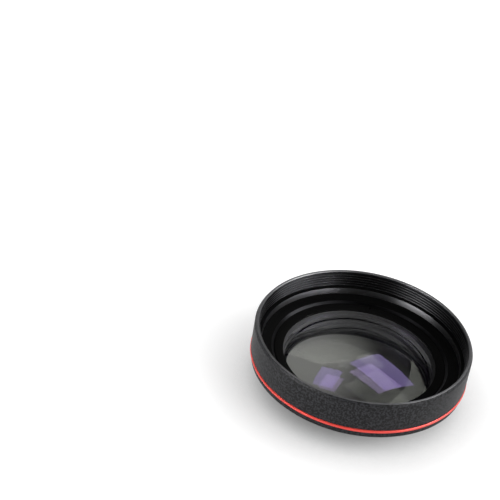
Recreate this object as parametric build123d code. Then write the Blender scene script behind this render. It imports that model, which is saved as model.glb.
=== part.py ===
from build123d import *
import math
import os

# Wide-angle conversion lens. It stands on its rear thread, glass up.
# The optical axis is +Z and the origin is the centre of the rear end. Millimetres.

# Clearances between parts that screw or slide into each other
thread_clearance = 0.05
glass_clearance = 0.05
clamp_gap = 0.1

# Small edges left by the lathe and by the glass grinder
edge_chamfer = 0.3
glass_bevel = 0.25

# Front and second glass: one radius, and the ground margins outside the polished faces
element_radius = 29.5
front_margin = 1.2
front_rear_margin = 2.5
second_margin = 2.6
front_edge_thickness = 4.3
front_curve_radius = 110.0
front_rear_curve_radius = 63.75
second_edge_thickness = 1.4
second_curve_radius = 180.0

# Seat, washer and spacer under the two glasses
seat_width = 2.9
seat_thickness = 0.8
washer_thickness = 0.2
spacer_width = 2.3
spacer_height = 0.8

# Retaining ring over the front glass, and the soft ring that it presses on the glass
retainer_overhang = 2.0
retainer_outer_height = 0.95
retainer_slope_drop = 0.5
retainer_stand_out = 0.25
cushion_height = 0.3
cushion_inset = 0.1
spanner_hole_radius = 0.5
spanner_hole_inset = 0.9
spanner_hole_depth = 0.5

# Barrel: dark face around the glass, its bevel, and the spigot that carries the front ring
bevel_gap = 0.15
bevel_width = 1.0
bevel_drop = 0.8
face_width = 3.8
face_drop = 0.5
upper_spigot_wall = 1.2

# Front ring: drafted lip, M77 x 0.75 filter thread, the wall outside it and the rim's bevel
lip_height = 2.4
lip_draft = 0.3
filter_step = 1.7
filter_thread_depth = 6.7
band_wall = 1.5
rim_bevel_width = 0.6
rim_bevel_height = 1.0

# Barrel's strip and underside, and the red ring clamped on top of the strip
strip_inset = 0.4
strip_height = 2.3
underside_rise = 1.0
underside_width = 4.3
accent_proud = 0.2
accent_height = 1.1

# Set screws that lock the front ring, reached from the barrel's underside
lock_screw_count = 3
lock_screw_radius = 0.6
lock_screw_offset = 0.4
lock_screw_length = 2.0
lock_hex_width = 0.6
lock_hex_depth = 0.9

# Joint between the wide unit and the close-up unit: M62 x 0.75
joint_spigot_wall = 1.45
joint_spigot_length = 2.8
joint_end_gap = 0.2

# Close-up unit: knurled ring, M58 x 0.75 rear thread, glass and retaining ring
mount_thread_length = 3.7
mount_wall = 2.15
grip_height = 3.9
grip_wall = 2.95
flute_count = 120
flute_depth = 0.45
flute_land = 0.35
flute_margin = 0.5
close_ledge_width = 4.2
close_seat_width = 0.6
close_seat_thickness = 0.7
close_margin = 0.9
close_edge_thickness = 1.4
close_curve_radius = 140.0
close_cushion_height = 0.2
close_retainer_width = 0.9
close_retainer_height = 0.9
close_slot_width = 1.4
close_slot_depth = 0.5

# Radii worked outwards from the glass
glass_bore = element_radius + glass_clearance
front_face_radius = element_radius - front_margin
retainer_radius = element_radius + retainer_overhang
retainer_thread_bore = retainer_radius + thread_clearance
bevel_foot_radius = retainer_thread_bore + bevel_gap
bevel_radius = bevel_foot_radius + bevel_width
lip_foot_radius = bevel_radius + face_width
lip_radius = lip_foot_radius + lip_draft
upper_spigot_radius = lip_radius + upper_spigot_wall
ring_bore = upper_spigot_radius + thread_clearance
filter_thread_radius = lip_radius + filter_step
band_radius = filter_thread_radius + band_wall
accent_radius = band_radius + accent_proud
strip_radius = band_radius - strip_inset
underside_radius = strip_radius - underside_width
joint_spigot_radius = glass_bore + joint_spigot_wall
joint_bore = joint_spigot_radius + thread_clearance
grip_radius = joint_bore + grip_wall
close_element_radius = joint_spigot_radius - close_ledge_width
close_glass_bore = close_element_radius + glass_clearance
mount_thread_radius = close_glass_bore + mount_wall

# Heights worked upwards from the rear end
joint_z = mount_thread_length + grip_height
strip_bottom_z = joint_z + underside_rise
strip_top_z = strip_bottom_z + strip_height
ring_bottom_z = strip_top_z + accent_height
joint_spigot_z = joint_z - joint_spigot_length
seat_z = joint_spigot_z + seat_thickness
second_z = seat_z + washer_thickness
spacer_z = second_z + second_edge_thickness
front_rear_z = spacer_z + spacer_height
front_edge_z = front_rear_z + front_edge_thickness
retainer_z = front_edge_z + cushion_height
retainer_top_z = retainer_z + retainer_outer_height
bevel_foot_z = retainer_top_z - retainer_stand_out
lip_z = bevel_foot_z + bevel_drop + face_drop
thread_end_z = lip_z + lip_height
front_z = thread_end_z + filter_thread_depth
close_glass_z = close_seat_thickness + washer_thickness
close_edge_z = close_glass_z + close_edge_thickness
close_retainer_z = close_edge_z + close_cushion_height


def sag(curve_radius, radius):
    """Height of a spherical cap of the given curve over a circle of this radius."""
    return curve_radius - math.sqrt(curve_radius**2 - radius**2)


def turned(points):
    """A solid turned about Z from its half section, given as (radius, height) points."""
    with BuildPart() as part:
        with BuildSketch(Plane.XZ):
            with BuildLine():
                Polyline(*points, close=True)
            make_face()
        revolve(axis=Axis.Z)
    return part.part


def flat_ring(inner, outer, bottom, height):
    """Washer, cushion or spacer of plain rectangular section."""
    top = bottom + height
    return turned([(inner, bottom), (outer, bottom), (outer, top), (inner, top)])


def glass(radius, bottom, top):
    """A round glass element with ground, bevelled edges.

    bottom and top are (edge height, radius of the polished face, curve radius).
    A curve radius of None is flat, and a curved face always bulges upwards.
    """
    low_z, low_radius, low_curve = bottom
    high_z, high_radius, high_curve = top
    low_apex = low_z
    high_apex = high_z + sag(high_curve, high_radius)
    with BuildPart() as part:
        with BuildSketch(Plane.XZ):
            with BuildLine():
                if low_curve is None:
                    Line((0, low_z), (low_radius, low_z))
                else:
                    low_apex = low_z + sag(low_curve, low_radius)
                    middle = low_apex - sag(low_curve, low_radius / 2)
                    ThreePointArc((0, low_apex), (low_radius / 2, middle), (low_radius, low_z))
                Polyline(
                    (low_radius, low_z),
                    (radius - glass_bevel, low_z),
                    (radius, low_z + glass_bevel),
                    (radius, high_z - glass_bevel),
                    (radius - glass_bevel, high_z),
                    (high_radius, high_z),
                )
                middle = high_apex - sag(high_curve, high_radius / 2)
                ThreePointArc((high_radius, high_z), (high_radius / 2, middle), (0, high_apex))
                Line((0, high_apex), (0, low_apex))
            make_face()
        revolve(axis=Axis.Z)
    return part.part


def around(count, radius, start_angle, height):
    """Places on a circle about Z."""
    places = []
    for index in range(count):
        angle = math.radians(start_angle + index * 360 / count)
        places.append((radius * math.cos(angle), radius * math.sin(angle), height))
    return places


def drill(radius, depth):
    """A drill that goes down from the origin."""
    return Cylinder(radius, depth, align=(Align.CENTER, Align.CENTER, Align.MAX))


def make_front_ring():
    """Outer band with the filter thread's bore, the plain lip and the bore for the spigot."""
    return turned(
        [
            (ring_bore, ring_bottom_z),
            (band_radius - edge_chamfer, ring_bottom_z),
            (band_radius, ring_bottom_z + edge_chamfer),
            (band_radius, front_z - rim_bevel_height),
            (band_radius - rim_bevel_width, front_z),
            (filter_thread_radius + edge_chamfer, front_z),
            (filter_thread_radius, front_z - edge_chamfer),
            (filter_thread_radius, thread_end_z),
            (lip_radius, thread_end_z),
            (lip_foot_radius, lip_z),
            (ring_bore, lip_z),
        ]
    )


def make_red_accent_ring():
    """Thin ring clamped between the front ring and the barrel's strip."""
    crown = accent_height / 4
    return turned(
        [
            (ring_bore, strip_top_z),
            (accent_radius - crown, strip_top_z),
            (accent_radius, strip_top_z + crown),
            (accent_radius, ring_bottom_z - crown),
            (accent_radius - crown, ring_bottom_z),
            (ring_bore, ring_bottom_z),
        ]
    )


def make_main_barrel():
    """Barrel that carries the glass, with spigots for the front ring and the close-up unit."""
    seat_bore = element_radius - seat_width
    ledge_z = retainer_z - clamp_gap
    barrel = turned(
        [
            (seat_bore, joint_spigot_z),
            (joint_spigot_radius - edge_chamfer, joint_spigot_z),
            (joint_spigot_radius, joint_spigot_z + edge_chamfer),
            (joint_spigot_radius, joint_z),
            (underside_radius, joint_z),
            (strip_radius - edge_chamfer, strip_bottom_z),
            (strip_radius, strip_bottom_z + edge_chamfer),
            (strip_radius, strip_top_z),
            (upper_spigot_radius, strip_top_z),
            (upper_spigot_radius, lip_z),
            (lip_foot_radius, lip_z),
            (bevel_radius, bevel_foot_z + bevel_drop),
            (bevel_foot_radius, bevel_foot_z),
            (retainer_thread_bore, bevel_foot_z),
            (retainer_thread_bore, ledge_z),
            (glass_bore, ledge_z),
            (glass_bore, seat_z),
            (seat_bore, seat_z),
        ]
    )
    hole = drill(lock_screw_radius, strip_height + underside_rise)
    circle = upper_spigot_radius + lock_screw_offset
    for place in around(lock_screw_count, circle, 90, strip_top_z):
        barrel -= Pos(*place) * hole
    return barrel


def make_ring_lock_screws():
    """Headless set screws with a hexagon socket, their points against the accent ring."""
    body = drill(lock_screw_radius - thread_clearance, lock_screw_length)
    hexagon = RegularPolygon(lock_hex_width / 2, 6, major_radius=False)
    socket = extrude(hexagon, lock_hex_depth)
    screw = body - Pos(0, 0, -lock_screw_length) * socket
    circle = upper_spigot_radius + lock_screw_offset
    places = around(lock_screw_count, circle, 90, strip_top_z)
    return Compound(children=[Pos(*place) * screw for place in places])


def make_front_retaining_ring():
    """Threaded ring over the front glass, with two holes for a pin spanner."""
    bore = front_face_radius - glass_clearance
    ring = turned(
        [
            (bore, retainer_z),
            (retainer_radius, retainer_z),
            (retainer_radius, retainer_top_z),
            (bore, retainer_top_z - retainer_slope_drop),
        ]
    )
    hole = drill(spanner_hole_radius, spanner_hole_depth + retainer_slope_drop / 2)
    for place in around(2, retainer_radius - spanner_hole_inset, 90, retainer_top_z):
        ring -= Pos(*place) * hole
    return ring


def make_front_cushion_ring():
    """Soft ring between the retaining ring and the ground margin of the front glass."""
    inner = front_face_radius + glass_clearance
    return flat_ring(inner, element_radius - cushion_inset, front_edge_z, cushion_height)


def make_front_element():
    """Front glass: a meniscus, convex to the front, hollow behind."""
    return glass(
        element_radius,
        (front_rear_z, element_radius - front_rear_margin, front_rear_curve_radius),
        (front_edge_z, front_face_radius, front_curve_radius),
    )


def make_element_spacer_ring():
    """Ring that sets the air space between the two glasses."""
    return flat_ring(element_radius - spacer_width, element_radius, spacer_z, spacer_height)


def make_second_element():
    """Second glass: flat behind, slightly convex to the front."""
    face_radius = element_radius - second_margin
    return glass(
        element_radius,
        (second_z, face_radius, None),
        (spacer_z, face_radius, second_curve_radius),
    )


def make_element_seat_washer():
    """Soft washer on the barrel's seat."""
    return flat_ring(element_radius - seat_width, element_radius, seat_z, washer_thickness)


def knurl_outline():
    """Corner points of the straight knurl: flat lands with V grooves between them."""
    points = []
    pitch = 2 * math.pi / flute_count
    land = flute_land / grip_radius
    for index in range(flute_count):
        middle = index * pitch
        for angle, radius in (
            (middle - land / 2, grip_radius),
            (middle + land / 2, grip_radius),
            (middle + pitch / 2, grip_radius - flute_depth),
        ):
            points.append((radius * math.cos(angle), radius * math.sin(angle)))
    return points


def make_close_up_barrel():
    """Knurled ring with the joint thread's bore in front and the rear thread behind."""
    root = grip_radius - flute_depth
    seat_bore = close_element_radius - close_seat_width
    floor_z = joint_spigot_z - joint_end_gap
    barrel = turned(
        [
            (seat_bore, 0),
            (mount_thread_radius - edge_chamfer, 0),
            (mount_thread_radius, edge_chamfer),
            (mount_thread_radius, mount_thread_length),
            (root, mount_thread_length),
            (root, joint_z),
            (joint_bore, joint_z),
            (joint_bore, floor_z),
            (close_glass_bore, floor_z),
            (close_glass_bore, close_seat_thickness),
            (seat_bore, close_seat_thickness),
        ]
    )
    with BuildPart() as knurl:
        with BuildSketch(Plane.XY.offset(mount_thread_length + flute_margin)):
            Polygon(*knurl_outline(), align=None)
            Circle((root + joint_bore) / 2, mode=Mode.SUBTRACT)
        extrude(amount=grip_height - 2 * flute_margin)
    return barrel + knurl.part


def make_close_up_seat_washer():
    """Soft washer under the close-up glass."""
    inner = close_element_radius - close_seat_width
    return flat_ring(inner, close_element_radius, close_seat_thickness, washer_thickness)


def make_close_up_element():
    """Glass of the close-up unit: flat behind, convex to the front."""
    face_radius = close_element_radius - close_margin
    return glass(
        close_element_radius,
        (close_glass_z, face_radius, None),
        (close_edge_z, face_radius, close_curve_radius),
    )


def make_close_up_cushion_ring():
    """Soft ring between the close-up glass and its retaining ring."""
    inner = close_element_radius - close_margin + glass_clearance
    return flat_ring(inner, close_element_radius, close_edge_z, close_cushion_height)


def make_close_up_retaining_ring():
    """Ring over the close-up glass, with two spanner slots across its face."""
    inner = close_element_radius - close_retainer_width
    ring = flat_ring(inner, close_element_radius, close_retainer_z, close_retainer_height)
    slots = Box(
        2 * grip_radius,
        close_slot_width,
        close_slot_depth,
        align=(Align.CENTER, Align.CENTER, Align.MAX),
    )
    return ring - Pos(0, 0, close_retainer_z + close_retainer_height) * slots


pieces = {
    "front_ring": make_front_ring(),
    "red_accent_ring": make_red_accent_ring(),
    "main_barrel": make_main_barrel(),
    "ring_lock_screws": make_ring_lock_screws(),
    "front_retaining_ring": make_front_retaining_ring(),
    "front_cushion_ring": make_front_cushion_ring(),
    "front_element": make_front_element(),
    "element_spacer_ring": make_element_spacer_ring(),
    "second_element": make_second_element(),
    "element_seat_washer": make_element_seat_washer(),
    "close_up_barrel": make_close_up_barrel(),
    "close_up_seat_washer": make_close_up_seat_washer(),
    "close_up_element": make_close_up_element(),
    "close_up_cushion_ring": make_close_up_cushion_ring(),
    "close_up_retaining_ring": make_close_up_retaining_ring(),
}
os.makedirs("parts", exist_ok=True)
for name, piece in pieces.items():
    export_step(piece, f"parts/{name}.step")
    box = piece.bounding_box()
    print(name, "height", round(box.min.Z, 2), "to", round(box.max.Z, 2), "mm")
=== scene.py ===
# %% [markdown]
# # A screw-on wide-angle conversion lens
#
# The object is a shallow black ring with a domed glass sunk in it. A photographer screws
# it onto the front of a camera lens to see a wider scene. It has two units. The wide unit
# is the big one with the red line, and the close-up unit is the knurled ring under it.
#
# The solids come from the CAD model, and this script dresses them. It loads them first,
# so that every size below can be set against the real one.

import bmesh
import bpy
import math
from mathutils import Matrix, Vector


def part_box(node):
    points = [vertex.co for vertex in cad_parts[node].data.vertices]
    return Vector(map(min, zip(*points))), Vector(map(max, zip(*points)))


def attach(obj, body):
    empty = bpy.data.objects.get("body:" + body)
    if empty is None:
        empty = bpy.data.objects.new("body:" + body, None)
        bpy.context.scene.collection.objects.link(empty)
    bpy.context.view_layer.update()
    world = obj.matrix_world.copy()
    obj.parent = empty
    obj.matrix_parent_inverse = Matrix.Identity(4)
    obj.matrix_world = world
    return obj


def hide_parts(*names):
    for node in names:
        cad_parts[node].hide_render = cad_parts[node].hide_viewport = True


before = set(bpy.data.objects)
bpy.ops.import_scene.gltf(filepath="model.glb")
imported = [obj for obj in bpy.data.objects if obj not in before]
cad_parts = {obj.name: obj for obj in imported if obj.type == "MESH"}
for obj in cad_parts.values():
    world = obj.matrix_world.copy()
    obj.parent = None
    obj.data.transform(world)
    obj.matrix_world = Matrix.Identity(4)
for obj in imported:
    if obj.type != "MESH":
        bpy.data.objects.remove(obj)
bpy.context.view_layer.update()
MM = 0.001
for name in sorted(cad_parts):
    low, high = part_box(name)
    print(f"{name}: radius {high.x / MM:.2f}, height {low.z / MM:.2f} to {high.z / MM:.2f} mm")

# %% [markdown]
# ## Sizes
#
# Sizes are written in mm and multiplied by MM where a mesh is made. Every piece is round,
# so a place on it is a radius from the optical axis and a height above the rear end. The
# values here are used by more than one piece. The glasses lie in two stacks, and each
# height in a stack is where one piece ends and the next begins.

# %% Name the shared sizes
BAND_RADIUS = 40.0
BAND_FOOT = 12.0
RIM_HEIGHT = 23.7
FILTER_WALL = 38.5  # the wall that carries the filter thread
LEDGE_HEIGHT = 17.0  # the step under that thread
FACE_RADIUS = 36.5  # the outer edge of the dark sloping face
FACE_HEIGHT = 14.6
RING_BORE = 38.05  # the front ring's bore, which fits over the barrel
RED_FOOT = 10.9
SHOULDER = 7.6  # where the two units meet
EDGE_BREAK = 0.3  # the chamfer on most turned edges

# The wide unit's stack, from its seat up
SEAT_BORE = 26.6
GLASS_RADIUS = 29.5
RETAINER_RADIUS = 31.5
SEAT, SECOND_LOW, SECOND_HIGH, FRONT_LOW, FRONT_HIGH, RETAINER_LOW = 5.6, 5.8, 7.2, 8.0, 12.3, 12.6

# The close-up unit's stack, from its seat up
CLOSE_BORE = 26.2
CLOSE_GLASS_RADIUS = 26.8
CLOSE_SEAT, CLOSE_LOW, CLOSE_HIGH, CLOSE_RETAINER_LOW, CLOSE_RETAINER_HIGH = 0.7, 0.9, 2.3, 2.5, 3.4

FINE_PITCH = 0.75  # of all the real threads
JOINT_THREAD_FOOT = 5.0
print("band", 2 * BAND_RADIUS, "mm across, glass", 2 * GLASS_RADIUS, "mm, height", RIM_HEIGHT)

# %% [markdown]
# ## Camera
#
# The lens is seen from about 36 degrees above its rim, from half a metre away, through a
# long focal length, which keeps the far side of the rim nearly as large as the near side.
# The camera is placed by three facts: where it is, the point that it looks at, and its
# roll. The roll is what makes the lens lean to the right in the picture. The lens itself
# stands level, because a part that others will reuse has to stand straight.

# %% Place the camera
camera_place = Vector((0.0, -432.68, 340.25)) * MM
camera_aim = Vector((-49.94, 37.85, 23.0)) * MM
camera_roll = math.radians(8.94)
camera_data = bpy.data.cameras.new("camera")
camera_data.sensor_width = 36.0
camera_data.lens = 105.95
camera_data.clip_start = 0.01
camera_data.clip_end = 20.0
camera = bpy.data.objects.new("camera", camera_data)
bpy.context.scene.collection.objects.link(camera)
look = (camera_aim - camera_place).to_track_quat("-Z", "Y")
camera.matrix_world = (
    Matrix.Translation(camera_place)
    @ look.to_matrix().to_4x4()
    @ Matrix.Rotation(camera_roll, 4, "Z")
)
bpy.context.scene.camera = camera
print("camera", round((camera_place - camera_aim).length / MM), "mm from its aim")

# %% [markdown]
# ## Helpers for materials
#
# Colours are picked on screen as sRGB hex values, but a renderer adds light in linear
# numbers, so one function turns the first into the second. Another adds a shader node:
# its options are plain arguments, and its inputs are values or other nodes' outputs. The
# rest are short ways to say what most materials need: a noise of a given size, a colour
# between two others, and dents.

# %% Colour and node helpers
def linear(hex_colour):
    """The linear RGBA of an sRGB colour written as six hex digits."""
    parts = [int(hex_colour[i : i + 2], 16) / 255 for i in (0, 2, 4)]
    turned_linear = [p / 12.92 if p <= 0.04045 else ((p + 0.055) / 1.055) ** 2.4 for p in parts]
    return (*turned_linear, 1.0)


def add(tree, kind, inputs=None, **options):
    """Adds a shader node with its options, and fills or links its inputs."""
    made = tree.nodes.new("ShaderNode" + kind)
    for name, value in options.items():
        setattr(made, name, value)
    for name, value in (inputs or {}).items():
        if isinstance(value, bpy.types.NodeSocket):
            tree.links.new(value, made.inputs[name])
        else:
            made.inputs[name].default_value = value
    return made


def combine(tree, operation, first, second):
    """One number out of two, by a Math node."""
    return add(tree, "Math", {0: first, 1: second}, operation=operation).outputs[0]


def new_material(name):
    """An empty node material, and its tree."""
    material = bpy.data.materials.new(name)
    material.use_nodes = True
    material.node_tree.nodes.clear()
    return material, material.node_tree


def grain(tree, size):
    """Noise whose blobs are about the given size in metres, on object coordinates."""
    place = add(tree, "TexCoord")
    inputs = {"Vector": place.outputs["Object"], "Scale": 0.5 / size, "Detail": 2.0}
    return add(tree, "TexNoise", inputs).outputs["Fac"]


def between(tree, factor, dark, light, dark_until=0.0, light_from=1.0):
    """A colour that goes from one hex value to another as the factor rises."""
    ramp = add(tree, "ValToRGB", {"Fac": factor})
    first, last = ramp.color_ramp.elements
    first.position, last.position = dark_until, light_from
    first.color, last.color = linear(dark), linear(light)
    return ramp.outputs["Color"]


def dented(tree, height, strength, depth):
    """The normal of a surface with dents of that depth in metres."""
    inputs = {"Height": height, "Strength": strength, "Distance": depth}
    return add(tree, "Bump", inputs).outputs["Normal"]


print("middle grey 808080 is", round(linear("808080")[0], 3), "in linear light")

# %% [markdown]
# ## Bead-blasted black anodised aluminium
#
# The outside of the ring was blasted with fine glass beads and then anodised black. The
# beads leave small round dents that catch light one by one, so the eye sees a dark grey
# surface with a fine sparkle. The dents are a bump, and the colour is also made lighter
# on their high spots, which is a painted glint. A picture texture could give that, but a
# noise on object coordinates has no seam and the same grain all round. The real dents
# are about 0.1 mm. They are drawn at 0.35 mm, about one pixel of the picture, because
# finer ones vanish.

# %% Make the blasted material
BLAST_GRAIN = 0.35 * MM
BLAST_DEPTH = 0.08 * MM
HANDLING_MARKS = 6 * MM


def blasted_aluminium(name, dark, light, rough):
    """Anodised aluminium with the dents that glass beads leave."""
    material, tree = new_material(name)
    # One noise drives the bump and the colour; the lighter colour on its high spots is a painted
    # glint.
    dents = grain(tree, BLAST_GRAIN)
    marks = grain(tree, HANDLING_MARKS)
    roughness = add(
        tree,
        "MapRange",
        {"Value": marks, "To Min": rough - 0.05, "To Max": rough + 0.05},
    )
    shader = add(
        tree,
        "BsdfPrincipled",
        {
            "Base Color": between(tree, dents, dark, light, 0.43, 0.6),
            "Roughness": roughness.outputs["Result"],
            "Specular IOR Level": 0.2,
            "Normal": dented(tree, dents, 0.8, BLAST_DEPTH),
        },
    )
    add(tree, "OutputMaterial", {"Surface": shader.outputs["BSDF"]})
    return material


blasted_black = blasted_aluminium("bead_blasted_black_anodised_aluminium", "020203", "2A2A2D", 0.5)
print("made", blasted_black.name)

# %% [markdown]
# ## Turned aluminium, anodised black or red
#
# Everything that a lathe cut and nobody blasted has fine grooves that run round the axis.
# They stretch a highlight across themselves. Anisotropy on a tangent that runs round the
# axis gives that stretch. The grooves are a fine noise that depends only on the radius
# and the height, so they follow every turned face by themselves. Real feed marks are 0.05
# to 0.1 mm apart, and they are drawn at 0.12 mm.

# %% Make the turned materials
FEED_MARK = 0.12 * MM
GROOVE_DEPTH = 0.12 * MM
DYE_CLOUDS = 4 * MM


def groove_noise(tree, pitch):
    """Noise that depends on the radius and the height only, so it makes turned grooves."""
    place = add(tree, "TexCoord")
    split = add(tree, "SeparateXYZ", {"Vector": place.outputs["Object"]})
    flat = add(tree, "CombineXYZ", {"X": split.outputs["X"], "Y": split.outputs["Y"]})
    radius = add(tree, "VectorMath", {0: flat.outputs["Vector"]}, operation="LENGTH")
    profile = add(tree, "CombineXYZ", {"X": radius.outputs["Value"], "Z": split.outputs["Z"]})
    inputs = {"Vector": profile.outputs["Vector"], "Scale": 0.5 / pitch, "Detail": 1.0}
    return add(tree, "TexNoise", inputs).outputs["Fac"]


def turned_metal(name, dark, light, rough, metallic, groove_strength, stretch=0.0):
    """Anodised metal with turning grooves round the optical axis."""
    material, tree = new_material(name)
    round_axis = add(tree, "Tangent", direction_type="RADIAL", axis="Z")
    grooves = groove_noise(tree, FEED_MARK)
    clouds = grain(tree, DYE_CLOUDS)
    shader = add(
        tree,
        "BsdfPrincipled",
        {
            "Base Color": between(tree, clouds, dark, light, 0.3, 0.7),
            "Roughness": rough,
            "Metallic": metallic,
            "Anisotropic": stretch,
            "Anisotropic Rotation": 0.25,
            "Tangent": round_axis.outputs["Tangent"],
            "Normal": dented(tree, grooves, groove_strength, GROOVE_DEPTH),
        },
    )
    add(tree, "OutputMaterial", {"Surface": shader.outputs["BSDF"]})
    return material


turned_black = turned_metal(
    "turned_black_anodised_aluminium", "303032", "3A3A3C", 0.36, 1.0, 0.15, 0.7
)
# Finer turned metal for the plain wall. Its lighter colour also goes on the thread's crests as a
# painted highlight.
satin_wall_and_crest_highlight = turned_metal(
    "fine_turned_black_anodised_aluminium_and_crest_highlight", "585859", "626264", 0.38, 1.0, 0.05, 0.85
)
# A lighter colour for the top of the rim: a painted highlight.
painted_rim_highlight = turned_metal(
    "worn_edge_black_anodised_aluminium", "78787A", "868688", 0.5, 1.0, 0.05, 0.5
)
turned_red = turned_metal("turned_red_anodised_aluminium", "DC423A", "EE5048", 0.35, 0.3, 0.3)
print("made", turned_black.name, satin_wall_and_crest_highlight.name, painted_rim_highlight.name, "and", turned_red.name)

# %% [markdown]
# ## Dull black faces near the glass
#
# Light that strikes metal beside the glass would spoil the picture, so the faces there
# are painted a dull black that gives back about one hundredth of the light. The soft
# washers are black nylon. The rim of a glass is ground and not polished, so it is matt
# grey. All three are one recipe, a fine spotted grain with almost no gloss, and only the
# colours, the roughness and the size of the grain differ.

# %% Make the dull materials
SPOT_DEPTH = 0.03 * MM


def dull_surface(name, dark, light, rough, size):
    """A coat, plastic or ground glass with a fine grain and almost no gloss."""
    material, tree = new_material(name)
    spots = grain(tree, size)
    shader = add(
        tree,
        "BsdfPrincipled",
        {
            "Base Color": between(tree, spots, dark, light),
            "Roughness": rough,
            "Specular IOR Level": 0.08,
            "Normal": dented(tree, spots, 0.3, SPOT_DEPTH),
        },
    )
    add(tree, "OutputMaterial", {"Surface": shader.outputs["BSDF"]})
    return material


optical_black = dull_surface("matt_black_optical_paint", "020202", "080808", 0.65, 0.3 * MM)
ground_edge = dull_surface("fine_ground_glass_edge", "58585A", "626264", 0.8, 0.2 * MM)
nylon = dull_surface("punched_black_nylon", "101010", "1C1C1C", 0.6, 0.5 * MM)
print("made", optical_black.name, ground_edge.name, nylon.name)

# %% [markdown]
# ## Coated optical glass
#
# Optical glass is clear, with an index of 1.52. A coating decides what a face gives
# back: the front face a violet reflection, the face behind it a paler one, and the other
# faces almost none. Each coating is a material of its own, with its tint on the shader's
# own socket. A path tracer finds light behind glass slowly, so for shadow rays and for
# diffuse rays, which only ask how much light arrives, the glass is simply transparent. A
# ray from the camera still sees it bend and reflect.

# %% Make the glass materials
OPTICAL_INDEX = 1.52
SMEAR_SIZE = 9 * MM
CLEAR_GLASS = "FEFEFE"


def coated_glass(name, coating_colour):
    """Clear glass with a coating that tints what it reflects."""
    material, tree = new_material(name)
    roughness = add(
        tree,
        "MapRange",
        {"Value": grain(tree, SMEAR_SIZE), "From Min": 0.45, "To Min": 0.0, "To Max": 0.012},
    )
    glass = add(
        tree,
        "BsdfPrincipled",
        {
            "Base Color": linear(CLEAR_GLASS),
            "Roughness": roughness.outputs["Result"],
            "IOR": OPTICAL_INDEX,
            "Transmission Weight": 1.0,
            "Specular Tint": linear(coating_colour),
        },
    )
    clear = add(tree, "BsdfTransparent", {"Color": linear(CLEAR_GLASS)})
    path = add(tree, "LightPath")
    lighting = combine(
        tree, "MAXIMUM", path.outputs["Is Shadow Ray"], path.outputs["Is Diffuse Ray"]
    )
    mix = add(
        tree, "MixShader", {0: lighting, 1: glass.outputs["BSDF"], 2: clear.outputs["BSDF"]}
    )
    add(tree, "OutputMaterial", {"Surface": mix.outputs["Shader"]})
    return material


violet_coat = coated_glass("violet_coated_optical_glass", "9668F6")
dark_coat = coated_glass("broadband_coated_optical_glass", "303036")
pale_coat = coated_glass("pale_violet_coated_optical_glass", "B48AF2")
print("made", violet_coat.name, dark_coat.name, pale_coat.name)

# %% [markdown]
# ## How the turned pieces are made
#
# Every ring of a lens is cut on a lathe. Blender's spin does the same: half of the
# section goes once round the axis. The alternative is a cylinder with many loop cuts,
# which takes longer and gives worse edges. The corners of the section are bevelled
# before the spin, so that each edge is a tiny round that catches light.

# %% Spin helpers
STEPS = 288
EDGE_ROUND = 0.08
MERGE_WITHIN = 0.0005 * MM


def clean(bm):
    """Merges doubled vertices and turns the faces outwards."""
    bmesh.ops.remove_doubles(bm, verts=bm.verts[:], dist=MERGE_WITHIN)
    bmesh.ops.recalc_face_normals(bm, faces=bm.faces[:])


def finish_mesh(bm, name, materials, body, replaced, sharp_from=28):
    """Makes a smooth piece of a bmesh. It rides on its body and replaces a CAD node."""
    clean(bm)
    mesh = bpy.data.meshes.new(name)
    bm.to_mesh(mesh)
    bm.free()
    for material in materials:
        mesh.materials.append(material)
    mesh.shade_smooth()
    mesh.set_sharp_from_angle(angle=math.radians(sharp_from))
    piece = bpy.data.objects.new(name, mesh)
    bpy.context.scene.collection.objects.link(piece)
    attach(piece, body)
    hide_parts(replaced)
    print(name, "has", len(mesh.polygons), "faces")


def section(bm, points, edge_round=EDGE_ROUND):
    """Draws a closed half section from (radius, height) points in mm, with rounded corners."""
    corners = [bm.verts.new((radius * MM, 0, height * MM)) for radius, height in points]
    for pair in zip(corners, corners[1:] + corners[:1]):
        bm.edges.new(pair)
    bmesh.ops.bevel(
        bm,
        geom=corners,
        offset=edge_round * MM,
        offset_type="OFFSET",
        affect="VERTICES",
        segments=3,
        profile=0.5,
        material=-1,
    )


def spin_round(bm, steps=STEPS):
    """Turns everything in the bmesh once round the optical axis."""
    bmesh.ops.spin(
        bm,
        geom=bm.verts[:] + bm.edges[:],
        cent=(0, 0, 0),
        axis=(0, 0, 1),
        dvec=(0, 0, 0),
        angle=2 * math.pi,
        steps=steps,
        use_merge=True,
        use_duplicate=False,
    )


def paint_by(bm, materials, rule):
    """Gives each face the material that rule(radius, height) returns for its middle, in mm."""
    for face in bm.faces:
        middle = face.calc_center_median()
        material = rule(middle.xy.length / MM, middle.z / MM)
        face.material_index = materials.index(material)


print("rings are turned in", STEPS, "steps with edges rounded by", EDGE_ROUND, "mm")

# %% [markdown]
# ## How holes and threads are made
#
# Holes and slots come after the spin. A spun ring has no vertices where a small hole
# goes, so a Boolean modifier takes a cutter out of it, as a drill would. A thread is the
# V of one ridge, spun with a rise of one pitch a turn. Its foot is sunk a little in the
# wall that carries it, so that no light shows between the two.

# %% Hole and thread helpers
THREAD_STEPS = 144
THREAD_SINK = 0.02
FOOT_HALF = 0.46  # half the width of a ridge's foot, as a share of the pitch
CREST_HALF = 0.12  # the same for its crest


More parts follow.
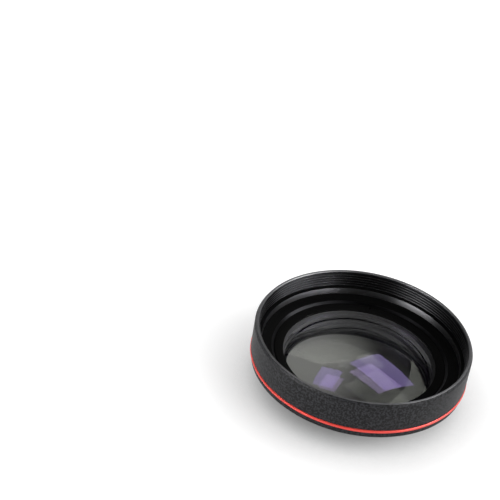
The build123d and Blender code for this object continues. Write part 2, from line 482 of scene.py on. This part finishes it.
def cut_away(bm, cutter):
    """Takes the closed mesh of one bmesh out of another with a Boolean modifier."""
    pair = []
    for builder in (bm, cutter):
        clean(builder)
        mesh = bpy.data.meshes.new("boolean_help")
        builder.to_mesh(mesh)
        helper = bpy.data.objects.new("boolean_help", mesh)
        bpy.context.scene.collection.objects.link(helper)
        pair.append(helper)
    cutter.free()
    modifier = pair[0].modifiers.new("cut", "BOOLEAN")
    modifier.object = pair[1]
    modifier.solver = "EXACT"
    shown = pair[0].evaluated_get(bpy.context.evaluated_depsgraph_get())
    cut_mesh = bpy.data.meshes.new_from_object(shown)
    bm.clear()
    bm.from_mesh(cut_mesh)
    for mesh in [helper.data for helper in pair] + [cut_mesh]:
        bpy.data.meshes.remove(mesh)


def drills(places, radius, bottom, top):
    """Round cutters that stand at (circle radius, angle in degrees) places, in mm."""
    cutter = bmesh.new()
    for circle, degrees in places:
        angle = math.radians(degrees)
        middle = Vector((circle * math.cos(angle), circle * math.sin(angle), (bottom + top) / 2))
        bmesh.ops.create_cone(
            cutter,
            cap_ends=True,
            segments=24,
            radius1=radius * MM,
            radius2=radius * MM,
            depth=(top - bottom) * MM,
            matrix=Matrix.Translation(middle * MM),
        )
    return cutter


def add_thread(bm, wall, crest, bottom, top, pitch=FINE_PITCH, crest_material=1):
    """Adds a right-hand thread: a V ridge that climbs one pitch a turn, from wall to crest.

    Material 1 of every threaded piece is the turned one, and it goes on the flanks.
    """
    turns = (top - bottom) / pitch - 1
    root = wall + math.copysign(THREAD_SINK, wall - crest)
    half = pitch * FOOT_HALF
    land = pitch * CREST_HALF
    low = bottom + half
    corners = [(root, low - half), (crest, low - land), (crest, low + land), (root, low + half)]
    ridge = bmesh.new()
    face = ridge.faces.new([ridge.verts.new((r * MM, 0, z * MM)) for r, z in corners])
    steps = round(turns * THREAD_STEPS)
    bmesh.ops.spin(
        ridge,
        geom=[face] + face.verts[:] + face.edges[:],
        cent=(0, 0, 0),
        axis=(0, 0, 1),
        dvec=(0, 0, turns * pitch * MM / steps),
        angle=turns * 2 * math.pi,
        steps=steps,
        use_merge=False,
        use_duplicate=False,
    )
    bmesh.ops.recalc_face_normals(ridge, faces=ridge.faces[:])
    for ridge_face in ridge.faces:
        from_crest = abs(ridge_face.calc_center_median().xy.length / MM - crest)
        ridge_face.material_index = crest_material if from_crest < 0.02 else 1
    holder = bpy.data.meshes.new("thread_holder")
    ridge.to_mesh(holder)
    ridge.free()
    bm.from_mesh(holder)
    bpy.data.meshes.remove(holder)
    print("a thread of", round(turns, 1), "turns at radius", crest)


print("a thread's ridge has", THREAD_STEPS, "steps a turn")

# %% [markdown]
# ## Front ring
#
# The front ring is the black band outside and the filter thread inside. The thread is
# a real ridge on the wall, because the eye sees each turn of it from above. It is
# M77 x 0.75, but turns 0.75 mm apart are under two pixels of the picture and blur, so
# they are drawn 1.12 mm apart, as coarse as they need to show. The band and the bevel
# are blasted, the thread is as turned, and the plain wall below it is turned finer.
# The crests of the thread and the top of the rim get lighter colours, which are painted
# highlights, and the step under the thread is painted dull black, which is painted shade.

# %% Make the front ring
RIM_BEVEL_WIDTH = 0.6
RIM_BEVEL_HEIGHT = 1.0
LIP_RADIUS = 36.8
FILTER_CREST = 38.0
FILTER_PITCH_DRAWN = 1.12
bm = bmesh.new()
section(
    bm,
    [
        (RING_BORE, BAND_FOOT),
        (BAND_RADIUS - EDGE_BREAK, BAND_FOOT),
        (BAND_RADIUS, BAND_FOOT + EDGE_BREAK),
        (BAND_RADIUS, RIM_HEIGHT - RIM_BEVEL_HEIGHT),
        (BAND_RADIUS - RIM_BEVEL_WIDTH, RIM_HEIGHT),
        (FILTER_WALL + EDGE_BREAK, RIM_HEIGHT),
        (FILTER_WALL, RIM_HEIGHT - EDGE_BREAK),
        (FILTER_WALL, LEDGE_HEIGHT),
        (LIP_RADIUS, LEDGE_HEIGHT),
        (FACE_RADIUS, FACE_HEIGHT),
        (RING_BORE, FACE_HEIGHT),
    ],
)
spin_round(bm)


def ring_finish(radius, height):
    """Blasted outside, lighter on the rim top as a painted highlight, turned in the thread, fine on
    the plain wall, and dull black on the step under the thread as painted shade.

    The small numbers put each rounded corner with one of its two neighbours.
    """
    # The rim top gets the lighter colour, a painted highlight.
    if height > RIM_HEIGHT - 0.32 and radius < BAND_RADIUS - 0.55:
        return painted_rim_highlight
    if radius > FILTER_WALL + 0.32:
        return blasted_black
    if radius < LIP_RADIUS + 0.05 and height < LEDGE_HEIGHT - 0.03:
        return satin_wall_and_crest_highlight
    # The step under the thread gets the dull black paint: painted shade.
    if radius < FILTER_WALL - 0.05 and height < LEDGE_HEIGHT + 0.01:
        return optical_black
    return turned_black


band_materials = [blasted_black, turned_black, satin_wall_and_crest_highlight, optical_black, painted_rim_highlight]
paint_by(bm, band_materials, ring_finish)
# The thread's crests get the lighter satin colour: a painted highlight.
add_thread(
    bm,
    FILTER_WALL,
    FILTER_CREST,
    LEDGE_HEIGHT,
    RIM_HEIGHT - 0.2,
    FILTER_PITCH_DRAWN,
    band_materials.index(satin_wall_and_crest_highlight),
)
finish_mesh(
    bm, "front_band", band_materials, "wide_unit", "front_ring"
)

# %% [markdown]
# ## Red ring
#
# A thin red ring is clamped between the band and the barrel. It stands a little proud,
# with small flats on its corners, so it always shows one thin bright line.

# %% Make the red ring
RED_RADIUS = 40.2
RED_BEVEL = 0.275
bm = bmesh.new()
section(
    bm,
    [
        (RING_BORE, RED_FOOT),
        (RED_RADIUS - RED_BEVEL, RED_FOOT),
        (RED_RADIUS, RED_FOOT + RED_BEVEL),
        (RED_RADIUS, BAND_FOOT - RED_BEVEL),
        (RED_RADIUS - RED_BEVEL, BAND_FOOT),
        (RING_BORE, BAND_FOOT),
    ],
)
spin_round(bm)
finish_mesh(
    bm, "red_line_ring", [turned_red], "wide_unit", "red_accent_ring"
)

# %% [markdown]
# ## Main barrel
#
# The barrel carries the glass. Its face slopes down to the retaining ring and is painted
# dull black. The strip under the red line is blasted like the band. The spigot below
# carries the joint thread, M62 x 0.75, which shows when the two units are unscrewed.

# %% Make the main barrel
UPPER_SPIGOT = 38.0
JOINT_SPIGOT = 30.6
JOINT_CREST = 31.0
SPIGOT_END = 4.8
STRIP_RADIUS = 39.6
STRIP_FOOT = 8.6
UNDERSIDE_FOOT = 35.3
FACE_FOOT_RADIUS, FACE_FOOT = 32.7, 14.1
BEVEL_FOOT_RADIUS, BEVEL_FOOT = 31.7, 13.3
RETAINER_BORE, RETAINER_STEP = 31.55, 12.5
GLASS_BORE = 29.55
bm = bmesh.new()
section(
    bm,
    [
        (SEAT_BORE, SPIGOT_END),
        (JOINT_SPIGOT - EDGE_BREAK, SPIGOT_END),
        (JOINT_SPIGOT, SPIGOT_END + EDGE_BREAK),
        (JOINT_SPIGOT, SHOULDER),
        (UNDERSIDE_FOOT, SHOULDER),
        (STRIP_RADIUS - EDGE_BREAK, STRIP_FOOT),
        (STRIP_RADIUS, STRIP_FOOT + EDGE_BREAK),
        (STRIP_RADIUS, RED_FOOT),
        (UPPER_SPIGOT, RED_FOOT),
        (UPPER_SPIGOT, FACE_HEIGHT),
        (FACE_RADIUS, FACE_HEIGHT),
        (FACE_FOOT_RADIUS, FACE_FOOT),
        (BEVEL_FOOT_RADIUS, BEVEL_FOOT),
        (RETAINER_BORE, BEVEL_FOOT),
        (RETAINER_BORE, RETAINER_STEP),
        (GLASS_BORE, RETAINER_STEP),
        (GLASS_BORE, SEAT),
        (SEAT_BORE, SEAT),
    ],
)
spin_round(bm)


def barrel_finish(radius, height):
    """Blasted outside, turned underneath and on the bevel, dull black on the face and inside.

    The small numbers put each rounded corner with one of its two neighbours.
    """
    if radius > STRIP_RADIUS - 0.6:
        return blasted_black
    if BEVEL_FOOT_RADIUS + 0.02 < radius < FACE_FOOT_RADIUS - 0.02 and height > BEVEL_FOOT - 0.1:
        return turned_black
    on_face = radius < UPPER_SPIGOT - 0.5 and height > RETAINER_STEP - 0.3
    in_glass_bore = radius < GLASS_BORE + 0.05 and height > SPIGOT_END + 0.1
    return optical_black if on_face or in_glass_bore else turned_black


LOCK_SCREW_CIRCLE = 38.4
lock_screw_places = [(LOCK_SCREW_CIRCLE, degrees) for degrees in (90, 210, 330)]
cut_away(bm, drills(lock_screw_places, 0.6, SHOULDER - 0.6, RED_FOOT - 0.05))
barrel_materials = [blasted_black, turned_black, optical_black]
paint_by(bm, barrel_materials, barrel_finish)
add_thread(bm, JOINT_SPIGOT, JOINT_CREST, JOINT_THREAD_FOOT, SHOULDER - 0.2)
finish_mesh(
    bm, "barrel", barrel_materials, "wide_unit", "main_barrel"
)

# %% [markdown]
# ## Glass elements
#
# A lens face is part of a sphere. A single vertex on the axis, spun about the sphere's
# centre, draws the arc of the section, and the second spin about the optical axis makes
# the face. What lies outside a polished face is ground. The corner between the two has
# to stay sharp for the shader, because a smooth normal there would bend the view.

# %% Make the three glasses
ARC_STEPS = 56
GLASS_BEVEL = 0.25


def polished_arc(bm, edge_height, face_radius, curve_radius):
    """Draws a lens face from the axis outwards. A curve radius of None is a flat face."""
    if curve_radius is None:
        inner = bm.verts.new((0, 0, edge_height * MM))
        outer = bm.verts.new((face_radius * MM, 0, edge_height * MM))
        bmesh.ops.subdivide_edges(bm, edges=[bm.edges.new((inner, outer))], cuts=12)
        return
    angle = math.asin(face_radius / curve_radius)
    centre_height = edge_height - curve_radius * math.cos(angle)
    inner = bm.verts.new((0, 0, (centre_height + curve_radius) * MM))
    bmesh.ops.spin(
        bm,
        geom=[inner],
        cent=(0, 0, centre_height * MM),
        axis=(0, 1, 0),
        dvec=(0, 0, 0),
        angle=angle,
        steps=ARC_STEPS,
        use_merge=False,
        use_duplicate=False,
    )


def outermost(bm, edge_height):
    """The outermost vertex of the arc that ends at this height in mm."""
    at_edge = [v for v in bm.verts if abs(v.co.z / MM - edge_height) < 0.001]
    return max(at_edge, key=lambda vertex: vertex.co.x)


def make_glass(name, radius, low, high, coats, body, node):
    """A round glass. Low and high are (edge height, face radius, curve radius) in mm.

    The two coats are the upper face's and the lower face's.
    """
    bm = bmesh.new()
    polished_arc(bm, *low)
    polished_arc(bm, *high)
    low_outer = outermost(bm, low[0])
    high_outer = outermost(bm, high[0])
    rim = [
        (radius - GLASS_BEVEL, low[0]),
        (radius, low[0] + GLASS_BEVEL),
        (radius, high[0] - GLASS_BEVEL),
        (radius - GLASS_BEVEL, high[0]),
    ]
    chain = [low_outer] + [bm.verts.new((r * MM, 0, z * MM)) for r, z in rim] + [high_outer]
    for pair in zip(chain, chain[1:]):
        bm.edges.new(pair)
    spin_round(bm)
    clean(bm)
    materials = [*coats, ground_edge]
    for face in bm.faces:
        coat, face_radius = (0, high[1]) if face.normal.z > 0 else (1, low[1])
        polished = face.calc_center_median().xy.length / MM < face_radius
        face.material_index = coat if polished else materials.index(ground_edge)
    print(name, "polished to radius", low[1], "below and", high[1], "mm above")
    finish_mesh(bm, name, materials, body, node, sharp_from=8)


make_glass(
    "front_glass",
    GLASS_RADIUS,
    (FRONT_LOW, 27.0, 63.75),
    (FRONT_HIGH, 28.3, 110.0),
    (violet_coat, dark_coat),
    "wide_unit",
    "front_element",
)
make_glass(
    "second_glass",
    GLASS_RADIUS,
    (SECOND_LOW, 26.9, None),
    (SECOND_HIGH, 26.9, 180.0),
    (pale_coat, dark_coat),
    "wide_unit",
    "second_element",
)
make_glass(
    "close_up_glass",
    CLOSE_GLASS_RADIUS,
    (CLOSE_LOW, 25.9, None),
    (CLOSE_HIGH, 25.9, 140.0),
    (dark_coat, dark_coat),
    "close_up_unit",
    "close_up_element",
)

# %% [markdown]
# ## Retaining rings, spacer, washers and cushions
#
# Thin rings hold the glass from the front. They are plain turned rings, so one function
# makes them all from their half sections. The ring over the front glass has two small
# holes for a pin spanner, and the one over the close-up glass has two slots.
#
# A ray cannot tell which of two faces in one place it meets first, so a thin ring that
# touches glass stops a hundredth of a millimetre short of it. Without that gap, black
# arcs show where the glass mirrors its own ground rim.

# %% Make the thin rings
THIN_ROUND = 0.05
THIN_STEPS = 192
FILM = 0.01


def make_ring(name, points, material, body, node, cutter=None):
    """A plain turned ring, with holes or slots where a cutter is given."""
    bm = bmesh.new()
    section(bm, points, THIN_ROUND)
    spin_round(bm, THIN_STEPS)
    if cutter:
        cut_away(bm, cutter)
    finish_mesh(bm, name, [material], body, node)


def box_section(inner, outer, bottom, top):
    """A rectangular half section in mm, a film of air short of the glass it touches."""
    low, high, far = bottom + FILM, top - FILM, outer - FILM
    return [(inner, low), (far, low), (far, high), (inner, high)]


make_ring(
    "glass_retaining_ring",
    [
        (28.25, RETAINER_LOW),
        (RETAINER_RADIUS, RETAINER_LOW),
        (RETAINER_RADIUS, RETAINER_LOW + 0.95),
        (28.25, RETAINER_LOW + 0.45),
    ],
    optical_black,
    "wide_unit",
    "front_retaining_ring",
    drills([(RETAINER_RADIUS - 0.9, 90), (RETAINER_RADIUS - 0.9, 270)], 0.5, 12.8, 14.0),
)
make_ring(
    "glass_cushion_ring",
    box_section(28.35, GLASS_RADIUS - 0.1, FRONT_HIGH, RETAINER_LOW),
    nylon,
    "wide_unit",
    "front_cushion_ring",
)
make_ring(
    "spacer_ring",
    box_section(27.2, GLASS_RADIUS, SECOND_HIGH, FRONT_LOW),
    optical_black,
    "wide_unit",
    "element_spacer_ring",
)
make_ring(
    "seat_washer",
    box_section(SEAT_BORE, GLASS_RADIUS, SEAT, SECOND_LOW),
    nylon,
    "wide_unit",
    "element_seat_washer",
)
make_ring(
    "close_up_washer",
    box_section(CLOSE_BORE, CLOSE_GLASS_RADIUS, CLOSE_SEAT, CLOSE_LOW),
    nylon,
    "close_up_unit",
    "close_up_seat_washer",
)
make_ring(
    "close_up_cushion",
    box_section(25.95, CLOSE_GLASS_RADIUS, CLOSE_HIGH, CLOSE_RETAINER_LOW),
    nylon,
    "close_up_unit",
    "close_up_cushion_ring",
)
SLOT_LENGTH, SLOT_WIDTH, SLOT_HEIGHT = 60, 1.4, 1.0
slot_cutter = bmesh.new()
bmesh.ops.create_cube(slot_cutter, size=MM)
bmesh.ops.scale(
    slot_cutter, vec=(SLOT_LENGTH, SLOT_WIDTH, SLOT_HEIGHT), verts=slot_cutter.verts[:]
)
bmesh.ops.translate(
    slot_cutter, vec=(0, 0, CLOSE_RETAINER_HIGH * MM), verts=slot_cutter.verts[:]
)
make_ring(
    "close_up_retainer",
    box_section(25.9, CLOSE_GLASS_RADIUS, CLOSE_RETAINER_LOW, CLOSE_RETAINER_HIGH),
    turned_black,
    "close_up_unit",
    "close_up_retaining_ring",
    slot_cutter,
)

# %% [markdown]
# ## Close-up unit's barrel
#
# This ring unscrews by hand, so its grip has a straight knurl: 120 V grooves side by
# side. The ring is spun in 720 steps, six to a groove, and then the vertices of the grip
# are moved inwards where a groove is. A cutter and 120 booleans would be slower. The
# joint thread inside starts half a pitch above the barrel's, so that the two interlock.

# %% Make the close-up barrel
FLUTES = 120
FLUTE_STEPS = 6
FLUTE_DEPTH = 0.45
FLUTE_LAND = 0.2
GRIP_RADIUS = 34.0
GRIP_FLOOR = GRIP_RADIUS - FLUTE_DEPTH
GRIP_FOOT = 3.7
GRIP_MARGIN = 0.5
MOUNT_RADIUS, MOUNT_CREST = 28.6, 29.0
JOINT_BORE, JOINT_BORE_CREST, JOINT_BORE_FOOT = 31.05, 30.86, 4.6
CLOSE_GLASS_BORE = 26.85
bm = bmesh.new()
section(
    bm,
    [
        (CLOSE_BORE, 0.0),
        (MOUNT_RADIUS - EDGE_BREAK, 0.0),
        (MOUNT_RADIUS, EDGE_BREAK),
        (MOUNT_RADIUS, GRIP_FOOT),
        (GRIP_FLOOR, GRIP_FOOT),
        (GRIP_FLOOR, GRIP_FOOT + GRIP_MARGIN),
        (GRIP_RADIUS, GRIP_FOOT + GRIP_MARGIN),
        (GRIP_RADIUS, SHOULDER - GRIP_MARGIN),
        (GRIP_FLOOR, SHOULDER - GRIP_MARGIN),
        (GRIP_FLOOR, SHOULDER),
        (JOINT_BORE, SHOULDER),
        (JOINT_BORE, JOINT_BORE_FOOT),
        (CLOSE_GLASS_BORE, JOINT_BORE_FOOT),
        (CLOSE_GLASS_BORE, CLOSE_SEAT),
        (CLOSE_BORE, CLOSE_SEAT),
    ],
)
spin_round(bm, FLUTES * FLUTE_STEPS)
for vertex in bm.verts:
    radius = vertex.co.xy.length / MM
    if radius > GRIP_FLOOR + 0.05:
        turn = math.atan2(vertex.co.y, vertex.co.x) / (2 * math.pi) * FLUTES
        from_land = abs((turn % 1.0) - 0.5) * 2
        depth = FLUTE_DEPTH * max(0.0, (from_land - FLUTE_LAND) / (1 - FLUTE_LAND))
        vertex.co.xy *= max(GRIP_FLOOR, radius - depth) / radius


def grip_finish(radius, height):
    """Blasted on the grip and turned elsewhere."""
    on_grip = radius > GRIP_FLOOR - 0.55 and height > GRIP_FOOT - 0.1
    return blasted_black if on_grip else turned_black


grip_materials = [blasted_black, turned_black]
paint_by(bm, grip_materials, grip_finish)
joint_foot = JOINT_THREAD_FOOT + FINE_PITCH / 2
add_thread(bm, JOINT_BORE, JOINT_BORE_CREST, joint_foot, SHOULDER - 0.05)
add_thread(bm, MOUNT_RADIUS, MOUNT_CREST, EDGE_BREAK, GRIP_FOOT - 0.1)
finish_mesh(
    bm,
    "close_up_grip",
    grip_materials,
    "close_up_unit",
    "close_up_barrel",
)

# %% [markdown]
# ## Lock screws
#
# Three tiny set screws keep the front ring from turning. They stay as the CAD made them
# and only get their blackened steel.

# %% Finish the lock screws
blackened_steel = turned_metal("blackened_steel", "1B1A19", "2A2826", 0.38, 0.6, 0.3)
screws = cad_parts["ring_lock_screws"]
screws.data.materials.clear()
screws.data.materials.append(blackened_steel)
print("lock screws:", len(screws.data.vertices), "vertices")

# %% [markdown]
# ## Floor
#
# The floor is a sheet of grey paper. It is lit by the lamps and keeps the shadow of the
# lens. For rays from the camera, from metal and through glass it glows a little as well,
# so that the background is white. Ambient occlusion fades that glow within 25 mm of the
# lens. That is a painted shadow: the soft dark edge where the lens stands, and the dark
# floor under the glass.

# %% Make the floor
FLOOR_GLOW = 0.92
FLOOR_RADIUS = 4.0
PAINTED_SHADOW_REACH = 25 * MM
PAPER_GRAIN = 2 * MM


def background_rays(tree):
    """1 for rays that look at the background: from the camera, off gloss or through glass."""
    path = add(tree, "LightPath")
    either = combine(
        tree, "MAXIMUM", path.outputs["Is Camera Ray"], path.outputs["Is Glossy Ray"]
    )
    return combine(tree, "MAXIMUM", either, path.outputs["Is Transmission Ray"])


floor_material, tree = new_material("pale_paper")
paper_colour = between(tree, grain(tree, PAPER_GRAIN), "9A9A9A", "A2A2A2")
diffuse = add(tree, "BsdfDiffuse", {"Color": paper_colour})
# Ambient occlusion darkens the glow near and under the lens: a painted shadow.
painted_shadow_occlusion = add(tree, "AmbientOcclusion", {"Distance": PAINTED_SHADOW_REACH}, samples=8)
glow_with_painted_shadow = combine(tree, "MULTIPLY", painted_shadow_occlusion.outputs["AO"], FLOOR_GLOW)
lift = combine(tree, "MULTIPLY", background_rays(tree), glow_with_painted_shadow)
glow = add(tree, "Emission", {"Color": (1, 1, 1, 1), "Strength": lift})
both = add(tree, "AddShader", {0: diffuse.outputs[0], 1: glow.outputs[0]})
add(tree, "OutputMaterial", {"Surface": both.outputs[0]})

bm = bmesh.new()
bmesh.ops.create_circle(bm, cap_ends=True, segments=96, radius=FLOOR_RADIUS)
floor_mesh = bpy.data.meshes.new("floor")
bm.to_mesh(floor_mesh)
bm.free()
floor_mesh.materials.append(floor_material)
floor = bpy.data.objects.new("floor", floor_mesh)
bpy.context.scene.collection.objects.link(floor)
print("floor is", 2 * FLOOR_RADIUS, "m across")

# %% [markdown]
# ## Background
#
# The world is white near the horizon, which is what the camera and the band see, and
# dark above. Seen in the glass, a white sky would hide what lies under it.

# %% Make the world
WHITE_UNTIL = 0.12
DARK_FROM = 0.34
DARK_SKY = 0.012
world = bpy.data.worlds.new("studio")
world.use_nodes = True
tree = world.node_tree
tree.nodes.clear()
direction = add(tree, "TexCoord")
upwards = add(tree, "SeparateXYZ", {"Vector": direction.outputs["Generated"]})
sky = add(tree, "ValToRGB", {"Fac": upwards.outputs["Z"]})
horizon, top = sky.color_ramp.elements
horizon.position, top.position = WHITE_UNTIL, DARK_FROM
horizon.color, top.color = (1, 1, 1, 1), (DARK_SKY, DARK_SKY, DARK_SKY, 1)
background = add(tree, "Background", {"Color": sky.outputs["Color"], "Strength": 1.0})
add(tree, "OutputWorld", {"Surface": background.outputs[0]})
bpy.context.scene.world = world
print("sky fades from white to", DARK_SKY)

# %% [markdown]
# ## Lamps
#
# Black metal is mostly seen by what it mirrors, so each soft lamp has a place of its own:
#
# - Two dim ones stand high behind the lens, rolled a little. The coated glass mirrors
#   them as the two violet patches.
# - A low wide one at the left lights the inside of the wall and the left of the band.
# - A wide one at the right draws the long highlights on the lip, the thread and the band.

# %% Hang the lamps
LENS_MIDDLE = Vector((0.0, 0.0, 14.0)) * MM
LAMP_DISTANCE = 1.2


def direction_to(azimuth, elevation):
    """The way to a lamp, in degrees. Azimuth 0 is the camera's side, and 90 the right."""
    a, e = math.radians(azimuth), math.radians(elevation)
    return Vector((math.sin(a) * math.cos(e), -math.cos(a) * math.cos(e), math.sin(e)))


def softbox(name, azimuth, elevation, width, height, watts, roll=0.0):
    """A soft lamp, width by height metres, aimed at the lens and rolled by some degrees."""
    away = direction_to(azimuth, elevation)
    data = bpy.data.lights.new(name, "AREA")
    data.shape = "RECTANGLE"
    data.size = width
    data.size_y = height
    data.energy = watts
    lamp = bpy.data.objects.new(name, data)
    lamp.matrix_world = (
        Matrix.Translation(LENS_MIDDLE + away * LAMP_DISTANCE)
        @ away.to_track_quat("Z", "Y").to_matrix().to_4x4()
        @ Matrix.Rotation(math.radians(roll), 4, "Z")
    )
    bpy.context.scene.collection.objects.link(lamp)
    radiance = watts / (math.pi * width * height)
    print(f"{name}: radiance {radiance:.1f}")


softbox("back_left_softbox", -164, 56, 0.15, 0.22, 0.31, -28)
softbox("back_right_softbox", 168.5, 46, 0.35, 0.28, 0.92, -28)
softbox("left_softbox", -50, 12, 0.75, 0.22, 13.0)
softbox("right_softbox", 80, 31, 1.45, 0.2, 17.5)

# %% [markdown]
# ## Last settings
#
# The plain view transform shows colours as they are written.

# %% Finish
bpy.context.scene.view_settings.view_transform = "Standard"
